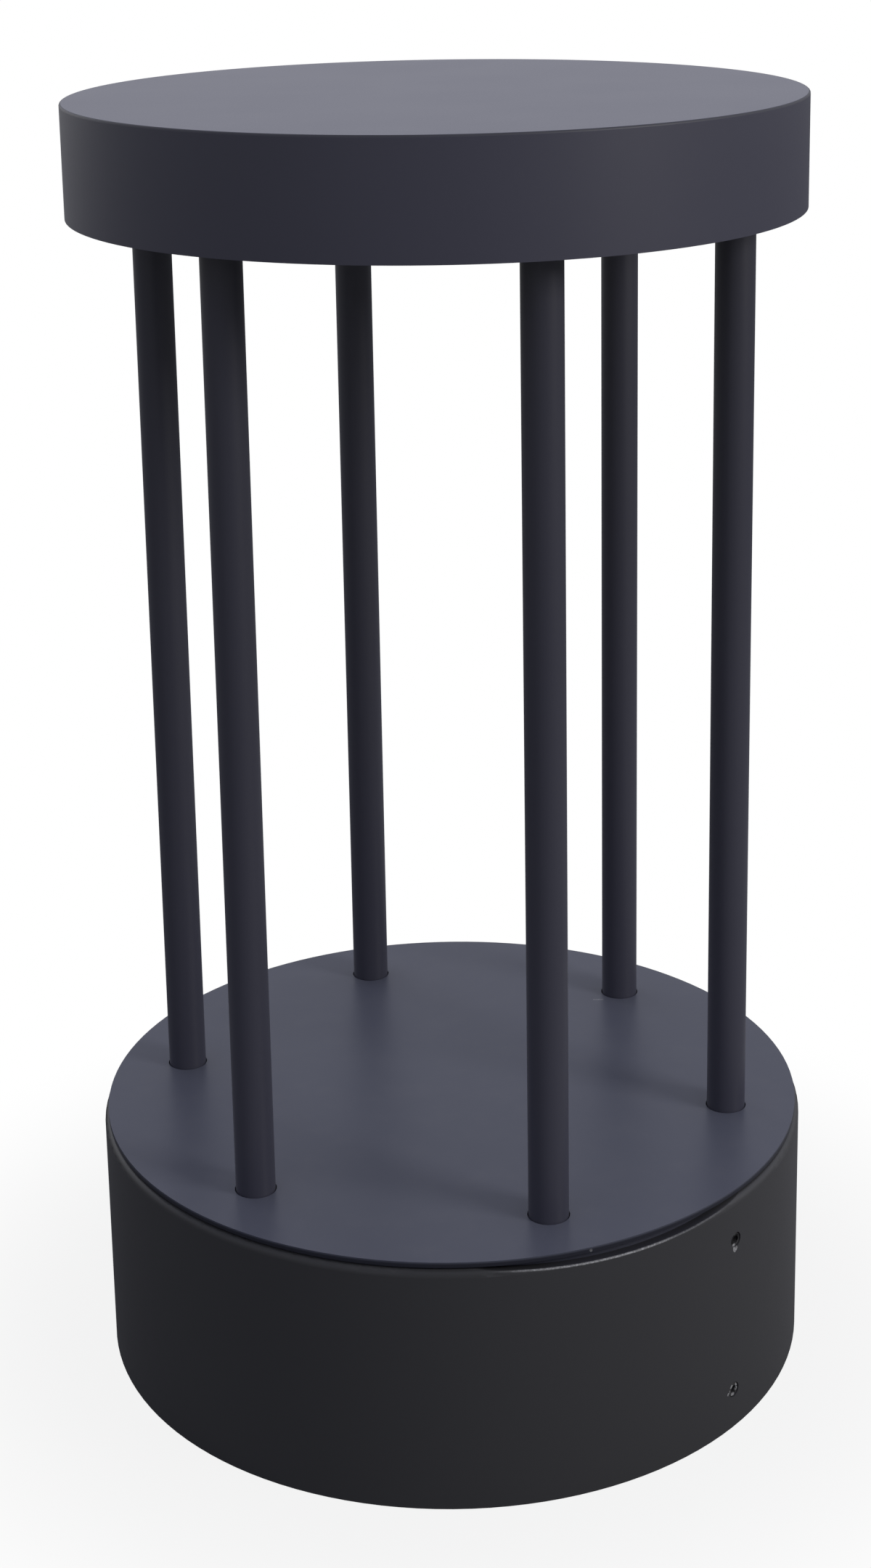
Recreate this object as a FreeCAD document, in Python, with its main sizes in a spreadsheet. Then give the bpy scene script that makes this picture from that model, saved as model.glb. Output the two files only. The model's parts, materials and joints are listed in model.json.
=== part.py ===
"""A low bollard light: drum, deck, six posts and a disc-shaped lamp head.

Origin: middle of the underside, on the ground. +Z is up and the front faces -Y.
Azimuths are in degrees from the front, -Y, towards +X. All lengths are in millimetres.
"""
import FreeCAD, Part
import math
import os
import re
import Sketcher

# Driving sizes: name, value, what it is
SIZES = [
    ("drum_dia", 280, "outside of the drum sleeve"),
    ("sleeve_wall", 4, "wall of the drum sleeve"),
    ("sleeve_ground_gap", 0.5, "sleeve's lower edge above the ground"),
    ("shoulder_round", 2.5, "round on the sleeve's upper edge"),
    ("dip_depth", 2.3, "dip in the sleeve's rim, where the deck is levered off"),
    ("dip_width", 112, "dip in the sleeve's rim"),
    ("dip_azimuth", 27, "middle of the dip"),
    ("dip_edge", 0.5, "round on the dip's outer edge"),
    ("slip", 0.2, "clearance of rings that slide into the sleeve"),
    ("deck_height", 100, "top of the deck above the ground"),
    ("deck_setback", 1.5, "deck's rim inside the drum's skin"),
    ("deck_rim_thick", 2, "deck plate at its rim"),
    ("deck_thick", 5, "deck plate inside its skirt"),
    ("shadow_gap", 1, "height of the dark joint under the deck's rim"),
    ("land_width", 1.2, "deck's bearing land on the sleeve's edge"),
    ("skirt_wall", 6, "wall of the deck's skirt"),
    ("skirt_depth", 23, "skirt below the deck plate"),
    ("seal_cord", 2.8, "cord of the O-ring between skirt and sleeve"),
    ("seal_drop", 4, "O-ring's middle below the sleeve's edge"),
    ("flange_thick", 6, "ground flange"),
    ("flange_wall", 6, "flange's upturned wall"),
    ("flange_height", 36, "top of the flange's upturned wall"),
    ("grommet_wall", 4, "grommet inside the cable hole"),
    ("grommet_lip", 3, "grommet's lip beyond the hole"),
    ("grommet_lip_thick", 2, "grommet's lip"),
    ("anchor_setback", 40, "circle of the anchor holes inside the drum's skin"),
    ("anchor_hole_dia", 11, "anchor holes"),
    ("anchor_count", 4, "anchor holes"),
    ("anchor_azimuth", 0, "first anchor hole"),
    ("cable_hole_dia", 50, "hole for the supply cable"),
    ("side_screw_dia", 6, "set screws in the drum's side"),
    ("side_screw_length", 9.5, "set screws in the drum's side"),
    ("side_screw_sink", 0.3, "set screws below the drum's surface"),
    ("side_screw_edge", 0.5, "chamfers on the set screws"),
    ("side_socket_width", 3, "hexagon in the set screws, across flats"),
    ("side_socket_depth", 3.5, "hexagon in the set screws"),
    ("side_screw_azimuth", 49, "front one of each opposite pair"),
    ("upper_screw_drop", 20, "upper pair below the deck's top"),
    ("lower_screw_height", 16.5, "lower pair above the ground"),
    ("thread_runout", 4, "threaded hole beyond its screw"),
    ("blind_runout", 1, "threaded hole beyond a short screw"),
    ("thread_gap", 0.05, "drawn clearance between a screw and its thread"),
    ("post_dia", 15, "posts"),
    ("post_setback", 28.5, "circle of the posts inside the drum's skin"),
    ("post_count", 6, "posts, the hollow one included"),
    ("post_azimuth", 18.3, "first post"),
    ("feed_post", 3, "posts from the first one on to the hollow one"),
    ("post_edge", 0.5, "chamfer on the posts' ends"),
    ("post_sink", 1.5, "post ends let into deck and lamp plate"),
    ("post_slack", 0.4, "gap round a post in its recess"),
    ("post_socket_width", 6, "hexagon in the post screws, across flats"),
    ("post_socket_depth", 4, "hexagon in the post screws"),
    ("post_screw_dia", 8, "screws in the posts' ends"),
    ("post_screw_reach", 16, "screw inside the post"),
    ("post_hole_dia", 9, "clearance holes for the post screws"),
    ("post_head_dia", 13, "heads of the post screws"),
    ("post_head_height", 8, "heads of the post screws"),
    ("washer_dia", 16, "washers under the post screws"),
    ("washer_thick", 1.6, "washers under the post screws"),
    ("boss_dia", 26, "pads under the deck, one for each post"),
    ("boss_height", 5, "pads under the deck"),
    ("nipple_dia", 10, "threaded nipples of the hollow post"),
    ("nipple_bore", 6.6, "bore of nipples and hollow post"),
    ("nipple_reach", 14, "nipple inside the post"),
    ("nipple_stub", 3, "nipple standing out of its nut"),
    ("nut_width", 14, "nipple nuts across flats"),
    ("nut_thick", 4, "nipple nuts"),
    ("total_height", 500, "top of the head above the ground"),
    ("head_setback", 2.5, "head's edge inside the drum's skin"),
    ("head_height", 42, "head cap"),
    ("cap_wall", 3, "side wall of the cap"),
    ("cap_step", 3.5, "inner step that the seal presses on"),
    ("cap_top", 4, "top of the cap"),
    ("cap_edge", 0.8, "round on the cap's upper edge"),
    ("cap_screw_setback", 13.5, "circle of the cap screws inside the head's edge"),
    ("cap_screw_count", 3, "cap screws"),
    ("cap_screw_dia", 5, "cap screws"),
    ("cap_screw_length", 16, "cap screws"),
    ("cap_socket_width", 3, "hexagon in the cap screws, across flats"),
    ("cap_socket_depth", 2, "hexagon in the cap screws"),
    ("cap_boss_dia", 10, "columns in the cap for its screws"),
    ("core_dia", 70, "block in the cap that carries the heat spreader"),
    ("core_height", 8, "block in the cap"),
    ("plate_setback", 2, "lamp plate above the cap's lower edge"),
    ("plate_thick", 6, "lamp plate"),
    ("cap_seal_width", 4.5, "seal between lamp plate and cap"),
    ("cap_seal_thick", 2, "seal between lamp plate and cap"),
    ("window_setback", 26.5, "edge of the lamp's opening inside the circle of the posts"),
    ("rebate_width", 7, "ledge that the diffuser rests on"),
    ("rebate_depth", 3, "ledge below the lamp plate's top"),
    ("diffuser_thick", 4, "diffuser disc"),
    ("diffuser_seal_thick", 1, "seal under the diffuser"),
    ("diffuser_slack", 0.5, "gap round the diffuser"),
    ("pan_head_share", 1.75, "pan heads, share of the screw's diameter"),
    ("pan_height_share", 0.65, "height of pan heads, share of the screw's diameter"),
    ("pan_edge_share", 0.125, "sloped edge of pan heads, share of the screw's diameter"),
    ("clamp_thick", 2, "clamp ring over the diffuser"),
    ("clamp_width", 17, "clamp ring"),
    ("clamp_screw_reach", 3.5, "clamp screws inside the lamp plate"),
    ("clamp_screw_count", 6, "clamp screws"),
    ("clamp_screw_dia", 4, "clamp screws"),
    ("spreader_overlap", 3, "heat spreader beyond the opening's edge"),
    ("spreader_thick", 4, "heat spreader"),
    ("board_setback", 5, "LED board inside the opening's edge"),
    ("board_thick", 1.6, "LED board"),
    ("board_screw_ring_dia", 50, "circle of the board screws"),
    ("board_screw_count", 3, "board screws"),
    ("board_screw_dia", 4, "board screws"),
    ("board_screw_reach", 6, "board screws inside the cap's block"),
    ("connector_length", 12, "connector on the heat spreader"),
    ("connector_width", 10, "connector on the heat spreader"),
    ("connector_height", 7, "connector on the heat spreader"),
    ("connector_setback", 28, "connector's middle inside the spreader's edge"),
    ("chip_size", 3.5, "LED chips"),
    ("chip_thick", 1, "LED chips"),
    ("chip_count", 24, "LED chips"),
    ("chip_setback", 15, "circle of the LED chips inside the board's edge"),
    ("driver_length", 104, "LED driver"),
    ("driver_width", 40, "LED driver"),
    ("driver_height", 30, "LED driver"),
    ("driver_ear", 10, "fixing ears of the driver"),
    ("driver_ear_thick", 3, "fixing ears of the driver"),
    ("driver_edge", 2, "rounds on the driver's upright edges"),
    ("lead_room", 22, "from the driver's back to the hollow post's axis"),
    ("box_length", 76, "junction box"),
    ("box_width", 44, "junction box"),
    ("box_height", 30, "junction box without its lid"),
    ("box_wall", 2.5, "junction box walls"),
    ("box_corner", 5, "rounds on the box's upright edges"),
    ("box_setback", 74, "junction box's middle inside the drum's skin"),
    ("lid_thick", 4, "lid of the junction box"),
    ("small_screw_setback", 1, "ends of the standing screws above the ground"),
    ("earth_setback", 66, "earth screw inside the drum's skin"),
    ("terminal_length", 28, "terminal block"),
    ("terminal_width", 16, "terminal block"),
    ("terminal_height", 14, "terminal block"),
    ("lid_column_dia", 7, "columns in the box for the lid screws"),
    ("lid_column_bite", 1, "columns running into the box's walls"),
    ("lid_screw_reach", 10, "lid screws inside the box"),
    ("small_screw_dia", 4, "screws of driver, box and earth"),
    ("lid_screw_dia", 3, "lid screws"),
    ("lead_dia", 5, "cables inside the bollard"),
    ("lead_bend", 14, "bends of the lead, at its middle"),
    ("gland_neck_dia", 12, "threaded necks of the glands"),
    ("gland_inside", 4, "necks standing into the box"),
    ("gland_offset", 16, "glands from the box's middle"),
    ("gland_dia", 15, "cable glands' bodies"),
    ("gland_length", 14, "cable glands outside the box"),
    ("gland_step", 1, "glands' domes inside their bodies and necks"),
    ("gland_height", 18, "cable glands above the flange"),
]
ALIASES = {name for name, _, _ in SIZES}

os.makedirs("parts", exist_ok=True)
doc = FreeCAD.newDocument("bollard")
sheet = doc.addObject("Spreadsheet::Sheet", "Sizes")
for row, (name, value, note) in enumerate(SIZES, 1):
    sheet.set(f"A{row}", name)
    sheet.set(f"B{row}", str(value))
    sheet.set(f"C{row}", note)
    sheet.setAlias(f"B{row}", name)
doc.recompute()


def sized(text):
    """The expression with each size's name pointing at its cell in the sheet."""
    return re.sub(r"[a-z_]+", lambda word: f"Sizes.{word[0]}" if word[0] in ALIASES else word[0], str(text))


def value(text):
    """The number that an expression of size names gives now."""
    return float(sheet.evalExpression(sized(text)))


def bind(thing, **sizes):
    """Tie properties to expressions; a double underscore stands for a dot."""
    for prop, text in sizes.items():
        thing.setExpression(prop.replace("__", "."), sized(text))


# Heights and radii that several pieces share
DRUM = "(drum_dia / 2)"
DECK = f"({DRUM} - deck_setback)"
HEAD = f"({DRUM} - head_setback)"
POST_RING = f"({DRUM} - post_setback)"
ANCHOR_RING = f"({DRUM} - anchor_setback)"
CAP_SCREW_RING = f"({HEAD} - cap_screw_setback)"
SLEEVE_INNER = f"({DRUM} - sleeve_wall)"
SLEEVE_TOP = "(deck_height - deck_rim_thick - shadow_gap)"
RING_OUTER = f"({SLEEVE_INNER} - slip)"
UPPER_SCREWS = "(deck_height - upper_screw_drop)"
DECK_UNDER = "(deck_height - deck_thick)"
BOSS_UNDER = f"({DECK_UNDER} - boss_height)"
POST_FOOT = "(deck_height - post_sink)"
HEAD_FOOT = "(total_height - head_height)"
PLATE_UNDER = f"({HEAD_FOOT} + plate_setback)"
PLATE_TOP = f"({PLATE_UNDER} + plate_thick)"
POST_TOP = f"({PLATE_UNDER} + post_sink)"
POST_ANGLE = "(360 / post_count)"
SEAL_TOP = f"({PLATE_TOP} + cap_seal_thick)"
CAP_CEILING = "(total_height - cap_top)"
CORE_UNDER = f"({CAP_CEILING} - core_height)"
BOARD_TOP = f"({CORE_UNDER} - spreader_thick)"
BOARD_UNDER = f"({BOARD_TOP} - board_thick)"
WINDOW = f"({POST_RING} - window_setback)"
SPREADER = f"({WINDOW} + spreader_overlap)"
BOARD = f"({WINDOW} - board_setback)"
CHIP_RING = f"({BOARD} - chip_setback)"
CONNECTOR = f"({SPREADER} - connector_setback)"
REBATE = f"({WINDOW} + rebate_width)"
REBATE_FLOOR = f"({PLATE_TOP} - rebate_depth)"
DIFFUSER_UNDER = f"({REBATE_FLOOR} + diffuser_seal_thick)"
DIFFUSER_TOP = f"({DIFFUSER_UNDER} + diffuser_thick)"
CLAMP_TOP = f"({DIFFUSER_TOP} + clamp_thick)"
CLAMP_SCREW_RING = f"({REBATE} + (clamp_width - rebate_width) / 2)"
PLATE_OUTER = f"({HEAD} - cap_wall - slip)"
CAP_INNER = f"({HEAD} - cap_wall)"
SEAL_HEIGHT = f"({SLEEVE_TOP} - seal_drop)"
FEED_AZIMUTH = f"(post_azimuth + feed_post * {POST_ANGLE})"
# The first solid post after the hollow one, in a body turned to the hollow post, and the rest
NEXT_POST_X = f"{POST_RING} * cos({POST_ANGLE} * 1 deg)"
NEXT_POST_Y = f"{POST_RING} * sin({POST_ANGLE} * 1 deg)"
SOLID_POSTS = "post_count - 1"
SOLID_POST_SPAN = f"360 - 2 * {POST_ANGLE}"
# Diameters of holes and recesses
SIDE_HOLE = "side_screw_dia + 2 * thread_gap"
SMALL_HOLE = "small_screw_dia + 2 * thread_gap"
NIPPLE_HOLE = "nipple_dia + 2 * thread_gap"
POST_RECESS = "post_dia + 2 * post_slack"


def place(thing, along_x="0", along_y="0", height="0", azimuth=None):
    """Put a piece at a point, turned so that its own +X points along an azimuth."""
    bind(thing, Placement__Base__x=along_x, Placement__Base__y=along_y, Placement__Base__z=height)
    if azimuth is not None:
        thing.Placement.Rotation = FreeCAD.Rotation(FreeCAD.Vector(0, 0, 1), 1)
        bind(thing, Placement__Rotation__Angle=f"({azimuth}) * 1 deg - 90 deg")


def origin_of(body, role):
    """One of a body's own origin planes or axes."""
    return [feature for feature in body.Origin.OriginFeatures if feature.Role == role][0]


def new_body(name):
    body = doc.addObject("PartDesign::Body", name)
    body.Label = name
    return body


def new_sketch(body, role, offset="0", across="0"):
    """A sketch on an origin plane, moved by offset out of it and by across along its own X."""
    sketch = body.newObject("Sketcher::SketchObject", "outline")
    sketch.AttachmentSupport = (origin_of(body, role), [""])
    sketch.MapMode = "FlatFace"
    bind(sketch, AttachmentOffset__Base__z=offset, AttachmentOffset__Base__x=across)
    return sketch


def draw_outline(sketch, corners):
    """A closed outline through (x, y) corners given as expressions, each bound to the sheet."""
    points = [FreeCAD.Vector(value(x), value(y), 0) for x, y in corners]
    count = len(points)
    for i in range(count):
        sketch.addGeometry(Part.LineSegment(points[i], points[(i + 1) % count]))
    for i in range(count):
        sketch.addConstraint(Sketcher.Constraint("Coincident", i, 2, (i + 1) % count, 1))
    for i, (x, y) in enumerate(corners):
        for kind, text, number in (("DistanceX", x, points[i].x), ("DistanceY", y, points[i].y)):
            index = sketch.addConstraint(Sketcher.Constraint(kind, -1, 1, i, 1, number))
            sketch.setExpression(f"Constraints[{index}]", sized(text))


def draw_circle(sketch, x, y, diameter):
    """A circle whose middle and diameter are bound to the sheet."""
    middle = FreeCAD.Vector(value(x), value(y), 0)
    up = FreeCAD.Vector(0, 0, 1)
    circle = sketch.addGeometry(Part.Circle(middle, up, value(diameter) / 2))
    for kind, text, number in (("DistanceX", x, middle.x), ("DistanceY", y, middle.y)):
        index = sketch.addConstraint(Sketcher.Constraint(kind, -1, 1, circle, 3, number))
        sketch.setExpression(f"Constraints[{index}]", sized(text))
    index = sketch.addConstraint(Sketcher.Constraint("Diameter", circle, value(diameter)))
    sketch.setExpression(f"Constraints[{index}]", sized(diameter))


def rectangle(length, width, x="0", y="0"):
    """Corners of an upright rectangle about (x, y)."""
    right, left = f"({x}) + ({length}) / 2", f"({x}) - ({length}) / 2"
    back, front = f"({y}) + ({width}) / 2", f"({y}) - ({width}) / 2"
    return [(left, front), (right, front), (right, back), (left, back)]


def ring(inner, outer, low, high):
    """Corners of a ring's rectangular section."""
    return [(inner, low), (outer, low), (outer, high), (inner, high)]


def turn(body, corners, across="0", behind="0", kind="Revolution"):
    """Turn an outline of (radius, height) corners about the upright axis at (across, behind)."""
    sketch = new_sketch(body, "XZ_Plane", offset=f"-({behind})", across=across)
    draw_outline(sketch, corners)
    feature = body.newObject(f"PartDesign::{kind}", "turned")
    feature.Profile = sketch
    feature.ReferenceAxis = (sketch, ["V_Axis"])
    feature.Angle = 360
    return feature


def bore(body, corners, across, behind):
    """Cut away an outline turned about the upright axis at (across, behind)."""
    return turn(body, corners, across, behind, kind="Groove")


def pad(body, corners, foot, height):
    """Raise an outline of (x, y) corners from foot."""
    sketch = new_sketch(body, "XY_Plane", offset=foot)
    draw_outline(sketch, corners)
    feature = body.newObject("PartDesign::Pad", "pad")
    feature.Profile = sketch
    bind(feature, Length=height)
    return feature


def round_pad(body, x, y, diameter, foot, height):
    """Raise a round column from foot."""
    sketch = new_sketch(body, "XY_Plane", offset=foot)
    draw_circle(sketch, x, y, diameter)
    feature = body.newObject("PartDesign::Pad", "column")
    feature.Profile = sketch
    bind(feature, Length=height)
    return feature


def drill(body, x, y, diameter, top, depth):
    """Sink a round hole from top downwards."""
    sketch = new_sketch(body, "XY_Plane", offset=top)
    draw_circle(sketch, x, y, diameter)
    feature = body.newObject("PartDesign::Pocket", "hole")
    feature.Profile = sketch
    bind(feature, Length=depth)
    return feature


def turned_sketch(body, azimuth):
    """An upright sketch through the axis that faces an azimuth."""
    sketch = new_sketch(body, "XZ_Plane")
    sketch.AttachmentOffset = FreeCAD.Placement(
        FreeCAD.Vector(0, 0, 0), FreeCAD.Rotation(FreeCAD.Vector(0, 1, 0), 1))
    bind(sketch, AttachmentOffset__Rotation__Angle=f"({azimuth}) * 1 deg")
    return sketch


def cross_drill(body, azimuth, height, diameter):
    """One hole straight through along a diameter of the drum, out of both sides."""
    sketch = turned_sketch(body, azimuth)
    draw_circle(sketch, "0", height, diameter)
    feature = body.newObject("PartDesign::Pocket", "cross_hole")
    feature.Profile = sketch
    feature.Midplane = True
    bind(feature, Length="2 * drum_dia")
    return feature


def hexagon(across_flats, x="0"):
    """Corners of a regular hexagon about (x, 0)."""
    reach = f"({across_flats}) / sqrt(3)"
    return [(f"({x}) + {reach} * cos({60 * i} deg)", f"{reach} * sin({60 * i} deg)") for i in range(6)]


def socket(body, across_flats, mouth, depth, x="0", upwards=True):
    """A hexagonal recess about (x, 0), cut upwards or downwards from its mouth."""
    sketch = new_sketch(body, "XY_Plane", offset=mouth)
    draw_outline(sketch, hexagon(across_flats, x))
    feature = body.newObject("PartDesign::Pocket", "socket")
    feature.Profile = sketch
    feature.Reversed = upwards
    bind(feature, Length=depth)
    return feature


def repeat(body, features, count, span="360"):
    """Copies round the body's Z axis, over the whole circle or a span of it."""
    pattern = body.newObject("PartDesign::PolarPattern", "around")
    pattern.Originals = features
    pattern.Axis = (origin_of(body, "Z_Axis"), [""])
    bind(pattern, Angle=f"({span}) * 1 deg", Occurrences=count)
    body.Tip = pattern
    return pattern


def circle_edges(shape, radius, height):
    """Names of the round edges with a radius at a height."""
    names = []
    for number, edge in enumerate(shape.Edges, 1):
        round_edge = isinstance(edge.Curve, Part.Circle)
        if round_edge and abs(edge.Curve.Radius - radius) < 1e-4 and abs(edge.Curve.Center.z - height) < 1e-4:
            names.append(f"Edge{number}")
    return names


def soften(body, names, radius):
    """Round the named edges of the body's last feature."""
    base = body.Tip
    feature = body.newObject("PartDesign::Fillet", "soft_edge")
    feature.Base = (base, names)
    bind(feature, Radius=radius)
    return feature


# Middles of the pieces that stand on the flange
FEED_X = f"({POST_RING} * sin({FEED_AZIMUTH} * 1 deg))"
FEED_Y = f"(-{POST_RING} * cos({FEED_AZIMUTH} * 1 deg))"
DRIVER_BACK = f"({FEED_Y} - lead_room)"
DRIVER_Y = f"({DRIVER_BACK} - driver_width / 2)"
DRIVER_FRONT = f"({DRIVER_BACK} - driver_width)"
DRIVER_SCREW_X = "(driver_length / 2 + driver_ear / 2)"
BOX_SCREW_X = "(box_length / 4)"
BOX_Y = f"(box_setback - {DRUM})"
BOX_BACK = f"({BOX_Y} + box_width / 2)"
LEAD_HEIGHT = "(flange_thick + gland_height)"
DRIVER_SCREWS = [(f"-{DRIVER_SCREW_X}", DRIVER_Y), (DRIVER_SCREW_X, DRIVER_Y)]
BOX_SCREWS = [(f"-{BOX_SCREW_X}", BOX_Y), (BOX_SCREW_X, BOX_Y)]
EARTH_SCREW = (f"(earth_setback - {DRUM})", "0")
# The supply cable comes in on the left, the lead to the driver leaves on the right
GLAND_PLACES = ("-gland_offset", "gland_offset")


def build_ground_flange():
    """Plate on the ground with an upturned wall that the sleeve is screwed to."""
    body = new_body("ground_flange")
    wall_inner = f"{RING_OUTER} - flange_wall"
    turn(body, [
        ("cable_hole_dia / 2", "0"),
        (RING_OUTER, "0"),
        (RING_OUTER, "flange_height"),
        (wall_inner, "flange_height"),
        (wall_inner, "flange_thick"),
        ("cable_hole_dia / 2", "flange_thick"),
    ])
    anchor_x = f"{ANCHOR_RING} * cos(anchor_azimuth * 1 deg)"
    anchor_y = f"{ANCHOR_RING} * sin(anchor_azimuth * 1 deg)"
    hole = drill(body, anchor_x, anchor_y, "anchor_hole_dia", "flange_thick", "flange_thick")
    repeat(body, [hole], "anchor_count")
    cross_drill(body, "side_screw_azimuth", "lower_screw_height", SIDE_HOLE)
    for x, y in DRIVER_SCREWS + BOX_SCREWS + [EARTH_SCREW]:
        drill(body, x, y, SMALL_HOLE, "flange_thick", "flange_thick")


def build_cable_grommet():
    """Rubber ring that lines the flange's cable hole."""
    body = new_body("cable_grommet")
    bore = "cable_hole_dia / 2 - grommet_wall"
    lip = "cable_hole_dia / 2 + grommet_lip"
    lip_top = "flange_thick + grommet_lip_thick"
    turn(body, [
        (bore, "sleeve_ground_gap"),
        ("cable_hole_dia / 2", "sleeve_ground_gap"),
        ("cable_hole_dia / 2", "flange_thick"),
        (lip, "flange_thick"),
        (lip, lip_top),
        (bore, lip_top),
    ])


def build_drum_sleeve():
    """Tube round the drum, with a rounded upper edge and a shallow dip in it."""
    body = new_body("drum_sleeve")
    turn(body, [
        (SLEEVE_INNER, "sleeve_ground_gap"),
        (DRUM, "sleeve_ground_gap"),
        (DRUM, SLEEVE_TOP),
        (SLEEVE_INNER, SLEEVE_TOP),
    ])
    doc.recompute()
    soften(body, circle_edges(body.Shape, value(DRUM), value(SLEEVE_TOP)), "shoulder_round")
    cut_dip(body)
    for height in ("lower_screw_height", UPPER_SCREWS):
        cross_drill(body, "side_screw_azimuth", height, SIDE_HOLE)


def cut_dip(body):
    """Take a wide shallow arc out of the sleeve's rim on one side and round its outer edge."""
    sketch = turned_sketch(body, "dip_azimuth")
    arc_radius = "((dip_width ^ 2 / 4 + dip_depth ^ 2) / (2 * dip_depth))"
    draw_circle(sketch, "0", f"{SLEEVE_TOP} - dip_depth + {arc_radius}", f"2 * {arc_radius}")
    dip = body.newObject("PartDesign::Pocket", "dip")
    dip.Profile = sketch
    dip.Reversed = True
    bind(dip, Length="drum_dia")
    doc.recompute()
    middle = math.radians(value("dip_azimuth"))
    outward = FreeCAD.Vector(math.sin(middle), -math.cos(middle), 0)
    point = outward * value(DRUM) + FreeCAD.Vector(0, 0, value(f"{SLEEVE_TOP} - dip_depth"))
    distances = [edge.distToShape(Part.Vertex(point))[0] for edge in body.Shape.Edges]
    soften(body, [f"Edge{distances.index(min(distances)) + 1}"], "dip_edge")


def build_deck():
    """Plate with a thin rim, a bearing land, a grooved skirt and a pad under each post.

    Its own +X points at the hollow post.
    """
    body = new_body("deck")
    skirt_inner = f"{RING_OUTER} - skirt_wall"
    skirt_foot = f"{DECK_UNDER} - skirt_depth"
    rim_under = "deck_height - deck_rim_thick"
    land = f"{SLEEVE_INNER} + land_width"
    groove_floor = f"{SLEEVE_INNER} - seal_cord"
    groove_low = f"{SEAL_HEIGHT} - seal_cord / 2 - thread_gap"
    groove_high = f"{SEAL_HEIGHT} + seal_cord / 2 + thread_gap"
    turn(body, [
        ("0", DECK_UNDER),
        (skirt_inner, DECK_UNDER),
        (skirt_inner, skirt_foot),
        (RING_OUTER, skirt_foot),
        (RING_OUTER, groove_low),
        (groove_floor, groove_low),
        (groove_floor, groove_high),
        (RING_OUTER, groove_high),
        (RING_OUTER, SLEEVE_TOP),
        (land, SLEEVE_TOP),
        (land, rim_under),
        (DECK, rim_under),
        (DECK, "deck_height"),
        ("0", "deck_height"),
    ])
    boss = round_pad(body, POST_RING, "0", "boss_dia", BOSS_UNDER, "boss_height")
    repeat(body, [boss], "post_count")
    recess = drill(body, POST_RING, "0", POST_RECESS, "deck_height", "post_sink")
    repeat(body, [recess], "post_count")
    drill(body, POST_RING, "0", NIPPLE_HOLE, POST_FOOT, f"{POST_FOOT} - {BOSS_UNDER}")
    hole = drill(body, NEXT_POST_X, NEXT_POST_Y, "post_hole_dia", POST_FOOT, f"{POST_FOOT} - {BOSS_UNDER}")
    repeat(body, [hole], SOLID_POSTS, SOLID_POST_SPAN)
    cross_drill(body, f"side_screw_azimuth - {FEED_AZIMUTH} + 90", UPPER_SCREWS, SIDE_HOLE)
    place(body, azimuth=FEED_AZIMUTH)


def build_deck_seal():
    """O-ring in the skirt's groove, against the sleeve's inside."""
    body = new_body("deck_seal")
    sketch = new_sketch(body, "XZ_Plane")
    draw_circle(sketch, f"{SLEEVE_INNER} - seal_cord / 2", SEAL_HEIGHT, "seal_cord")
    cord = body.newObject("PartDesign::Revolution", "cord")
    cord.Profile = sketch
    cord.ReferenceAxis = (sketch, ["V_Axis"])
    cord.Angle = 360


def build_side_screws(name, height):
    """Two opposite set screws through the sleeve into the ring behind it."""
    body = new_body(name)
    outer = f"({DRUM} - side_screw_sink)"
    inner = f"({outer} - side_screw_length)"
    radius = "side_screw_dia / 2"
    sketch = new_sketch(body, "XZ_Plane")
    draw_outline(sketch, [
        (inner, "0"),
        (outer, "0"),
        (outer, f"{radius} - side_screw_edge"),
        (f"{outer} - side_screw_edge", radius),
        (f"{inner} + side_screw_edge", radius),
        (inner, f"{radius} - side_screw_edge"),
    ])
    shank = body.newObject("PartDesign::Revolution", "shank")
    shank.Profile = sketch
    shank.ReferenceAxis = (sketch, ["H_Axis"])
    shank.Angle = 360
    sketch = new_sketch(body, "YZ_Plane", offset=outer)
    draw_outline(sketch, hexagon("side_socket_width"))
    recess = body.newObject("PartDesign::Pocket", "socket")
    recess.Profile = sketch
    bind(recess, Length="side_socket_depth")
    repeat(body, [shank, recess], "2")
    place(body, height=height, azimuth="side_screw_azimuth")


def build_posts():
    """Solid posts threaded at both ends, and one bored through for the lead."""
    length = f"({POST_TOP} - {POST_FOOT})"
    radius = "post_dia / 2"
    for number in range(round(value("post_count"))):
        hollow = number == round(value("feed_post"))
        bore = "nipple_bore / 2" if hollow else "0"
        thread = "nipple_dia / 2 + thread_gap" if hollow else "post_screw_dia / 2 + thread_gap"
        depth = "(nipple_reach + thread_runout)" if hollow else "(post_screw_reach + thread_runout)"
        body = new_body("feed_post" if hollow else f"post_{number + 1}")
        turn(body, [
            (bore, depth),
            (thread, depth),
            (thread, "0"),
            (f"{radius} - post_edge", "0"),
            (radius, "post_edge"),
            (radius, f"{length} - post_edge"),
            (f"{radius} - post_edge", length),
            (thread, length),
            (thread, f"{length} - {depth}"),
            (bore, f"{length} - {depth}"),
        ])
        azimuth = f"(post_azimuth + {number} * {POST_ANGLE}) * 1 deg"
        place(body, f"{POST_RING} * sin({azimuth})", f"-{POST_RING} * cos({azimuth})", POST_FOOT)


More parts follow.
